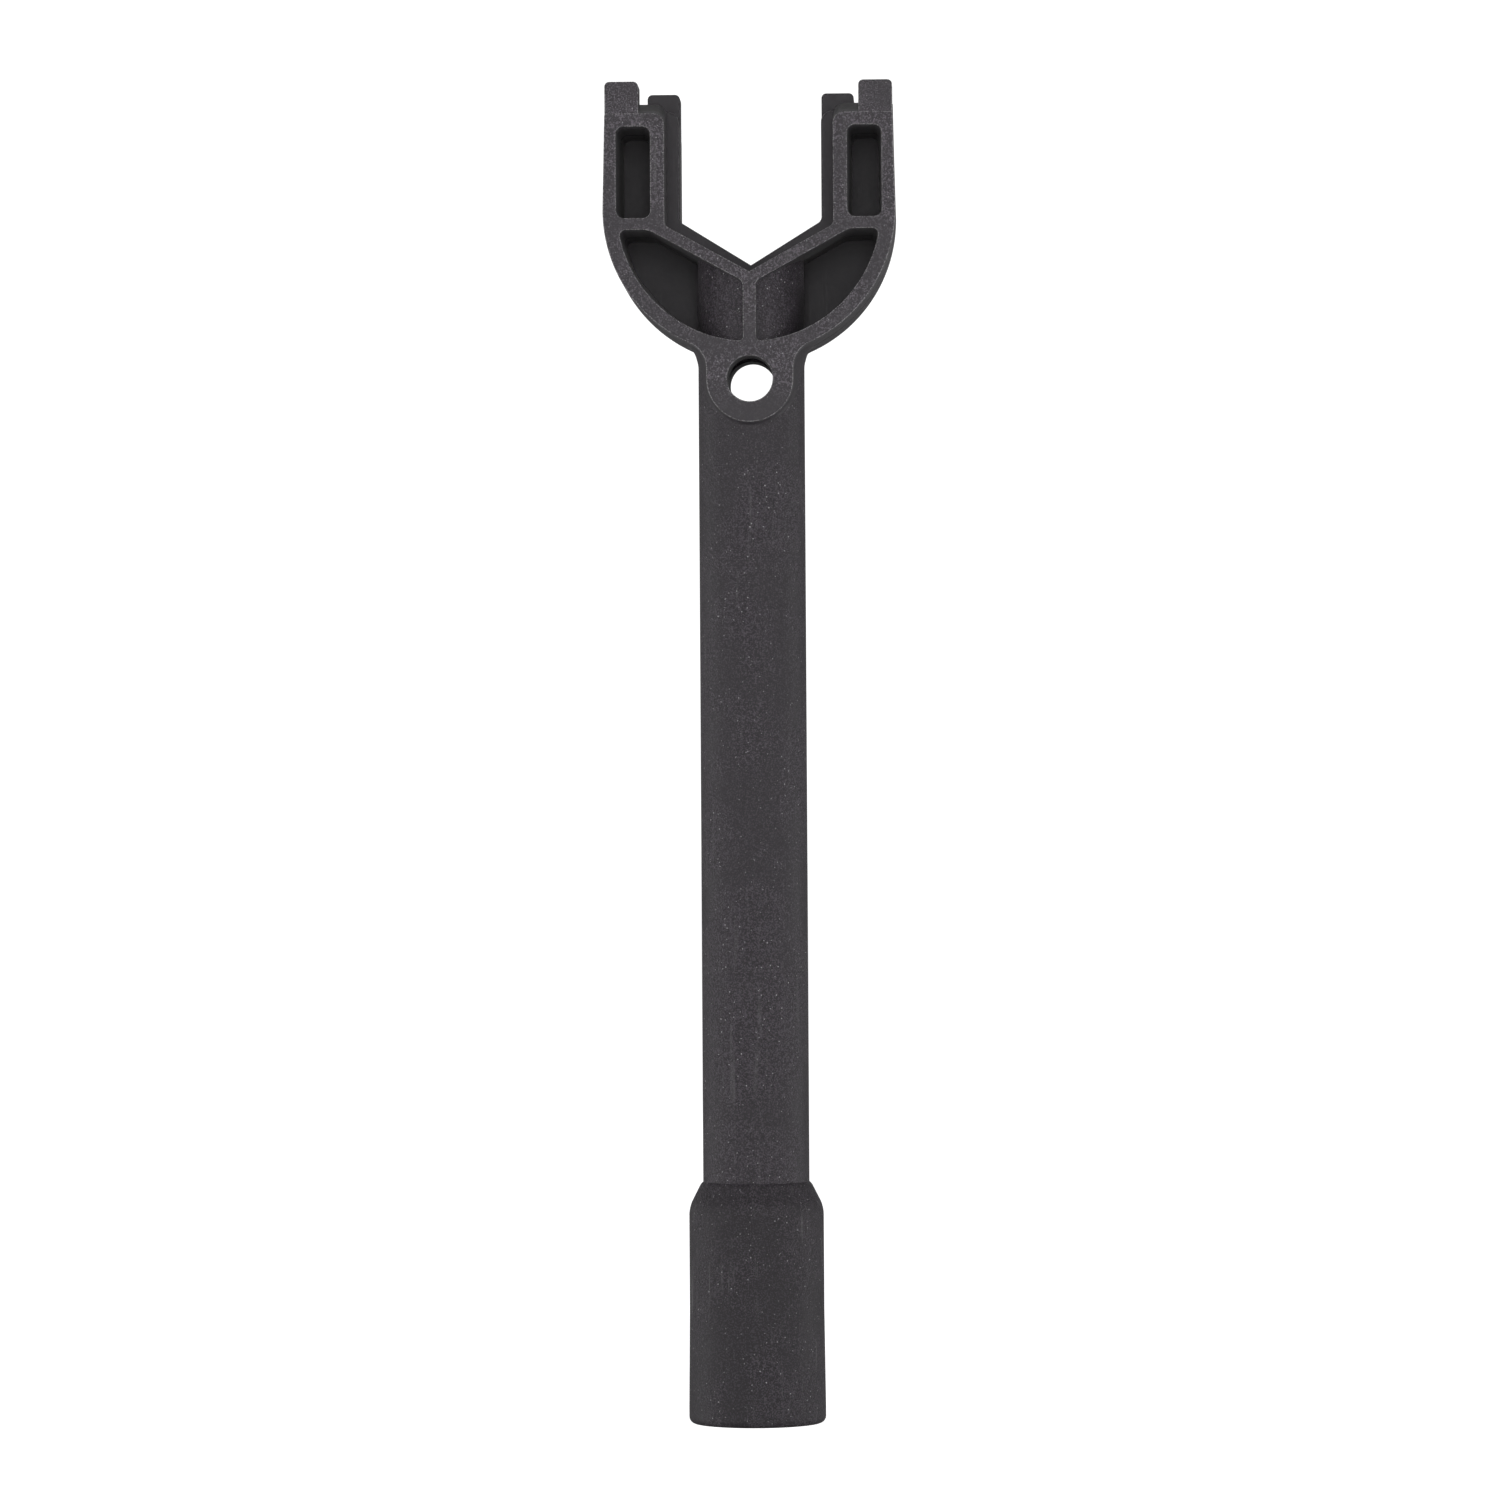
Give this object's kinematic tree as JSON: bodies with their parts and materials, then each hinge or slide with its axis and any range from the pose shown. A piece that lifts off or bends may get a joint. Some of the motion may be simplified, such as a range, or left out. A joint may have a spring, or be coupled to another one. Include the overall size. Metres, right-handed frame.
{
  "type": "lug wrench",
  "caption": "Rigid moulded wrench with a forked lug head, a round hollow handle with a cross hole at its neck, and a hex socket at its foot.",
  "frame": {"origin": "centre of the socket mouth, at the foot of the upright tool", "axes": "+Z along the handle from the socket to the forked head, +X to the right across the head, -Y out of the front of the head, where the wider jaw is"},
  "size_m": [0.0654, 0.0308, 0.3],
  "materials": {
    "front_half_nylon": "matt, fine grain, glass-filled nylon",
    "rear_half_nylon": "matt, fine grain, glass-filled nylon",
    "handle_nylon": "matt with a soft sheen, fine grain, glass-filled nylon",
    "sleeve_nylon": "matt with fine scuffs, glass-filled nylon",
    "insert_steel": "dark phosphated steel"
  },
  "bodies": {
    "root": {"front_head_half": "front_half_nylon", "rear_head_half": "rear_half_nylon", "handle_tube": "handle_nylon", "socket_sleeve": "sleeve_nylon", "hex_insert": "insert_steel"}
  },
  "joints": []
}
